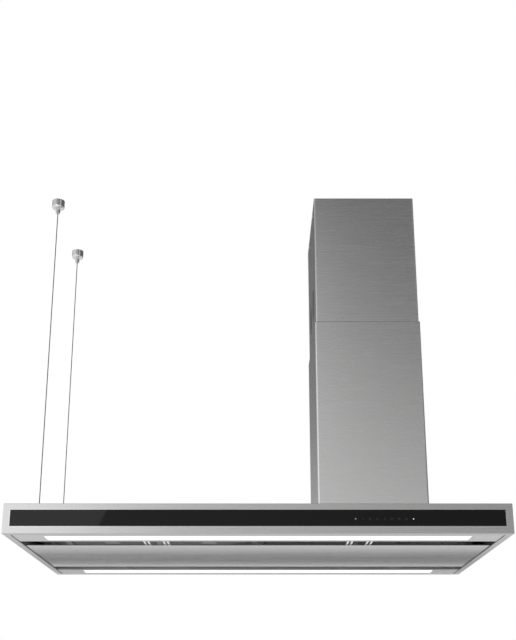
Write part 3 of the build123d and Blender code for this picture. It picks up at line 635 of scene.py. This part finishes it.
# touch row on the front glass, generic marks only
touchSet = {
    "row": ("bigDot", "minus", "ring", "plus", "bars", "ring", "timer", "ring", "smallDot"),
    "finish": {"bigDot": "greyMark", "smallDot": "brightMark"},  # the others are dim
    "middle": 0.297,  # right of the hood's middle
    "pitch": 0.017,
    "height": 0.0352,  # above the hood's underside
    "thick": 0.0001,
    "bigDot": 0.0021,
    "smallDot": 0.0011,
    "ring": 0.0026,
    "stroke": 0.0006,
    "segments": 24,
    # in ring radii: how far up the timer's hand sits, the middle bar, and what the next bar adds
    "handLift": 1 / 3,
    "barTall": 1.2,
    "barStep": 0.5,
}


def touchDot(bm, radius):
    bmesh.ops.create_circle(bm, cap_ends=True, segments=touchSet["segments"], radius=radius)


def makeMark(index, kind):
    size = touchSet["ring"]
    stroke = touchSet["stroke"]
    bm = bmesh.new()
    if kind in ("bigDot", "smallDot"):
        touchDot(bm, touchSet[kind])
    if kind in ("ring", "timer"):
        touchDot(bm, size)
        cutWindow(bm, bm.faces[:], stroke)
    if kind in ("minus", "plus"):
        addSheet(bm, 2 * size, stroke)
    if kind == "plus":
        addSheet(bm, stroke, 2 * size)
    if kind == "timer":
        hand = addSheet(bm, stroke, size)
        bmesh.ops.translate(bm, verts=hand, vec=(0, size * touchSet["handLift"], 0))
    if kind == "bars":
        for step in (-1, 0, 1):
            growth = touchSet["barStep"] * step
            bar = addSheet(bm, stroke, size * (touchSet["barTall"] + growth))
            bmesh.ops.translate(bm, verts=bar, vec=(step * 2 * stroke, size * growth / 2, 0))
    faceOut(bm)
    pullUp(bm, bm.faces[:], touchSet["thick"])
    standUp(bm)
    fromMiddle = index - len(touchSet["row"]) // 2
    across = hoodMiddle + touchSet["middle"] + fromMiddle * touchSet["pitch"]
    glassFront = corners("front_glass")[0].y
    bmesh.ops.translate(bm, verts=bm.verts, vec=(across, glassFront, hoodBase + touchSet["height"]))
    faceOut(bm)
    finish = touchSet["finish"].get(kind, "dimMark")
    makePiece("touchMark_%d" % (index + 1), bm, finish, "hood")


for index, kind in enumerate(touchSet["row"]):
    makeMark(index, kind)
print("touch row drawn")

# grease mesh: two crossed diamond lattices in each filter
latticeSet = {
    "cell": 0.0100,
    "wire": 0.0013,
    "count": 4,
    "frameWall": 0.008,
    "frameGap": 0.001,
    "turn": 45,  # degrees
    "overlap": 1.5,  # the turned sheet reaches past the filter's corners before it is cut
    # height in the filter and stretch of each lattice
    "layers": ((0.25, (1.0, 0.7, 1.0)), (0.75, (0.7, 1.0, 1.0))),
}


def addLattice(bm, middle, width, depth, stretch):
    cell = latticeSet["cell"]
    count = int(max(width, depth) * latticeSet["overlap"] / cell)
    sheet = bmesh.new()
    bmesh.ops.create_grid(sheet, x_segments=count, y_segments=count, size=count * cell / 2)
    turn = Matrix.Rotation(radians(latticeSet["turn"]), 3, "Z")
    bmesh.ops.rotate(sheet, verts=sheet.verts, cent=(0, 0, 0), matrix=turn)
    bmesh.ops.scale(sheet, verts=sheet.verts, vec=stretch)
    for normal, edge in ((Vector((1, 0, 0)), width / 2), (Vector((0, 1, 0)), depth / 2)):
        for sign in (-1, 1):
            cutOff(sheet, normal * sign * edge, normal * sign, clear_outer=True)
    bmesh.ops.wireframe(
        sheet,
        faces=sheet.faces[:],
        thickness=latticeSet["wire"],
        use_replace=True,
        use_boundary=True,
    )
    bmesh.ops.translate(sheet, verts=sheet.verts, vec=middle)
    pourInto(bm, sheet)


def makeLattices():
    low, high = corners("filter_meshes")
    gap = latticeSet["frameGap"] + 2 * latticeSet["frameWall"]
    width = (high.x - low.x - (latticeSet["count"] - 1) * gap) / latticeSet["count"]
    bm = bmesh.new()
    for number in range(latticeSet["count"]):
        middleX = low.x + width / 2 + number * (width + gap)
        for level, stretch in latticeSet["layers"]:
            middle = (middleX, (low.y + high.y) / 2, low.z + (high.z - low.z) * level)
            addLattice(bm, middle, width, high.y - low.y, stretch)
    print("lattice faces", len(bm.faces))
    piece = makePiece("greaseMesh", bm, "meshMetal", "hood")
    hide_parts("filter_meshes")


makeLattices()
print("grease mesh woven")

# pan-head screws
screwSet = {
    "radius": 0.0042,
    "taper": 0.92,
    "height": 0.0024,
    "dome": 0.35,  # share of the height that the rounded rim takes
    "domeSteps": 4,
    "socket": 0.0018,
    "sunk": 0.0012,
    "segments": 24,
    "flat": 0.99,  # a face that looks up this much is the head's top
}


def addScrew(bm, place, axis):
    screw = bmesh.new()
    bmesh.ops.create_cone(
        screw,
        cap_ends=True,
        segments=screwSet["segments"],
        radius1=screwSet["radius"],
        radius2=screwSet["radius"] * screwSet["taper"],
        depth=screwSet["height"],
    )
    bmesh.ops.translate(screw, verts=screw.verts, vec=(0, 0, screwSet["height"] / 2))
    top = [face for face in screw.faces if face.normal.z > screwSet["flat"]]
    roundOff(screw, top[0].edges[:], screwSet["height"] * screwSet["dome"], screwSet["domeSteps"])
    flat = [face for face in screw.faces if face.normal.z > screwSet["flat"]]
    top = [max(flat, key=lambda face: face.calc_area())]
    bmesh.ops.inset_region(screw, faces=top, thickness=screwSet["socket"], use_even_offset=True)
    pullUp(screw, top, -screwSet["sunk"])
    bmesh.ops.delete(screw, geom=top, context="FACES_ONLY")
    turn = Vector(axis).to_track_quat("Z", "Y").to_matrix()
    bmesh.ops.rotate(screw, verts=screw.verts, cent=(0, 0, 0), matrix=turn)
    bmesh.ops.translate(screw, verts=screw.verts, vec=place)
    pourInto(bm, screw)


# on each hinge arm, where it lies on the panel's tray
armSet = {"sheet": 0.0025, "fromSide": 0.015, "fromFront": (0.014, 0.036)}


def makeArmScrews():
    low, high = corners("hinge_arms")
    top = corners("panel_stiffener")[1].z + armSet["sheet"]
    bm = bmesh.new()
    for x in (low.x + armSet["fromSide"], high.x - armSet["fromSide"]):
        for back in armSet["fromFront"]:
            addScrew(bm, (x, low.y + back, top), (0, 0, 1))
    makePiece("armScrews", bm, "fasteners", "panel")


# on the terminal box's lid, and up the front and rear of the blower box
boxSet = {"lidInset": 0.009, "lidHeight": 0.038, "fromSide": 0.030, "heights": (0.06, 0.14, 0.22)}


def makeBoxScrews():
    lidLow, lidHigh = corners("terminal_box")
    low, high = corners("motor_box")
    bm = bmesh.new()
    for x in (lidLow.x + boxSet["lidInset"], lidHigh.x - boxSet["lidInset"]):
        for y in (lidLow.y + boxSet["lidInset"], lidHigh.y - boxSet["lidInset"]):
            addScrew(bm, (x, y, high.z + boxSet["lidHeight"]), (0, 0, 1))
    for x in (low.x + boxSet["fromSide"], high.x - boxSet["fromSide"]):
        for height in boxSet["heights"]:
            addScrew(bm, (x, low.y, low.z + height), (0, -1, 0))
            addScrew(bm, (x, high.y, low.z + height), (0, 1, 0))
    makePiece("boxScrews", bm, "fasteners", "hood")


makeArmScrews()
makeBoxScrews()
print("screws driven")

# studio: pale floor, white surroundings, soft lamps
studio = {
    "floorDrop": 1.6,  # below the hood
    "floorSize": 30.0,
    "floorPale": 0.88,
    "floorRough": 0.8,
    "floorGlow": 0.48,  # how much of its pale colour the floor shows by itself
    "floorFade": (3.5, 13.0),  # distances over which it fades into the white surroundings
    "skyLight": 0.32,  # what the white surroundings give as plain light
    "roofReach": 25.0,
    "roofSegments": (64, 32),
    "roofSlope": (0.45, 0.146, 1.0),  # the roof darkens upwards, to the right and to the rear
    "roofSpan": (-0.105, 0.335),
    "roofLevel": 0.14,
    # a long dark strip behind and below the hood, in the middle of the suction panel's sheen
    "flag": {
        "across": (hoodMiddle - 0.9, hoodMiddle + 0.9),
        "depth": hoodRear + 0.15,
        "height": (hoodBase - 0.097, hoodBase - 0.051),
        "level": 0.14,
    },
    # a white card high up in front, whose sheen lies on the left of the chimney's front
    "card": {"across": (-0.8, -0.05), "depth": -5.0, "height": (0.3, 2.6), "level": 1.0},
    "aim": 0.3,  # height over the hood's underside that the lamps face
}

lamps = {
    "softbox": {"place": (-2.70, -4.9, 0.1), "size": (2.6, 3.2), "power": 24, "roll": -23},
    "fill": {"place": (2.6, -3.2, 1.6), "size": (2.5, 2.5), "power": 8, "roll": 0},
    "overhead": {"place": (-0.3, 0.5, 2.6), "size": (4.0, 4.0), "power": 45, "roll": 0},
    # the lamp bars' stray light on the filters, behind the suction panel
    "chamber": {
        "place": (hoodMiddle, 0, hoodBase + 0.012),
        "size": (1.05, 0.40),
        "power": 0.25,
        "roll": 0,
    },
}


def addLamp(name, wish):
    data = bpy.data.lights.new(name, "AREA")
    data.shape = "RECTANGLE"
    data.size, data.size_y = wish["size"]
    data.energy = wish["power"]
    lamp = bpy.data.objects.new(name, data)
    lamp.location = wish["place"]
    target = Vector((hoodMiddle, 0, hoodBase + studio["aim"]))
    aim = (target - lamp.location).to_track_quat("-Z", "Y").to_matrix()
    lamp.rotation_euler = (aim @ Matrix.Rotation(radians(wish["roll"]), 3, "Z")).to_euler()
    lamp.visible_camera = False
    scene.collection.objects.link(lamp)


# 1 where the eye, a reflection or a view through glass meets the surroundings
def seenRays(tree):
    rays = addNode(tree, "ShaderNodeLightPath")
    shown = rays.outputs["Is Camera Ray"]
    for kind in ("Is Glossy Ray", "Is Transmission Ray"):
        either = addNode(tree, "ShaderNodeMath", operation="MAXIMUM")
        tree.links.new(shown, either.inputs[0])
        tree.links.new(rays.outputs[kind], either.inputs[1])
        shown = either.outputs["Value"]
    return shown


def addFloor():
    middle = (hoodMiddle, 0, hoodBase - studio["floorDrop"])
    bm = bmesh.new()
    bmesh.ops.create_grid(bm, x_segments=1, y_segments=1, size=studio["floorSize"])
    bmesh.ops.translate(bm, verts=bm.verts, vec=middle)
    floor = addMesh("floor", bm)
    material, tree, shader = newMaterial("paleFloor")
    shader.inputs["Roughness"].default_value = studio["floorRough"]
    place = addNode(tree, "ShaderNodeTexCoord")
    away = addNode(tree, "ShaderNodeVectorMath", operation="DISTANCE")
    away.inputs[1].default_value = middle
    tree.links.new(place.outputs["Object"], away.inputs[0])
    fade = spread(tree, away.outputs["Value"], 0.0, 1.0, *studio["floorFade"])
    colour = tint(tree, fade, grey(studio["floorPale"]), grey(0.0))
    tree.links.new(colour, shader.inputs["Base Color"])
    glow = addNode(tree, "ShaderNodeMath", operation="MULTIPLY")
    tree.links.new(seenRays(tree), glow.inputs[0])
    tree.links.new(spread(tree, fade, studio["floorGlow"], 1.0, 0.0, 1.0), glow.inputs[1])
    shader.inputs["Emission Color"].default_value = white
    tree.links.new(glow.outputs["Value"], shader.inputs["Emission Strength"])
    floor.data.materials.append(material)


def addWorld():
    world = bpy.data.worlds.new("studio")
    world.use_nodes = True
    tree = world.node_tree
    background = tree.nodes["Background"]
    colour = tint(tree, seenRays(tree), grey(studio["skyLight"]), grey(1.0))
    tree.links.new(colour, background.inputs["Color"])
    background.inputs["Strength"].default_value = 1.0
    scene.world = world


# a stage sheet that shows only in the sheen of the steel and the glass
def addSheen(name, bm, level):
    sheet = addMesh(name, bm)
    material, tree, shader = newMaterial(name)
    shader.inputs["Base Color"].default_value = black
    shader.inputs["Specular IOR Level"].default_value = 0.0
    shader.inputs["Emission Color"].default_value = white
    shader.inputs["Emission Strength"].default_value = level
    sheet.data.materials.append(material)
    sheet.visible_camera = False
    sheet.visible_diffuse = False
    sheet.visible_transmission = False
    sheet.visible_shadow = False
    return tree, shader


# the studio's roof, dark overhead and white where it meets the surroundings
def addRoof():
    reach = studio["roofReach"]
    around, upwards = studio["roofSegments"]
    slope = Vector(studio["roofSlope"])
    clear, dark = (edge * reach for edge in studio["roofSpan"])
    bm = bmesh.new()
    bmesh.ops.create_uvsphere(bm, u_segments=around, v_segments=upwards, radius=reach)
    cutOff(bm, slope * clear / slope.length_squared, slope, clear_inner=True)
    tree, shader = addSheen("roof", bm, studio["roofLevel"])
    place = addNode(tree, "ShaderNodeTexCoord")
    height = addNode(tree, "ShaderNodeVectorMath", operation="DOT_PRODUCT")
    height.inputs[1].default_value = slope
    tree.links.new(place.outputs["Object"], height.inputs[0])
    level = spread(tree, height.outputs["Value"], 1.0, studio["roofLevel"], clear, dark)
    tree.links.new(level, shader.inputs["Emission Strength"])


def addCard(name):
    wish = studio[name]
    left, right = wish["across"]
    low, high = wish["height"]
    bm = bmesh.new()
    addSheet(bm, right - left, high - low)
    standUp(bm)
    middle = ((left + right) / 2, wish["depth"], (low + high) / 2)
    bmesh.ops.translate(bm, verts=bm.verts, vec=middle)
    addSheen(name, bm, wish["level"])


addFloor()
addRoof()
addCard("flag")
addCard("card")
addWorld()
for name, wish in lamps.items():
    addLamp(name, wish)
scene.view_settings.view_transform = "Standard"
print("studio lit")
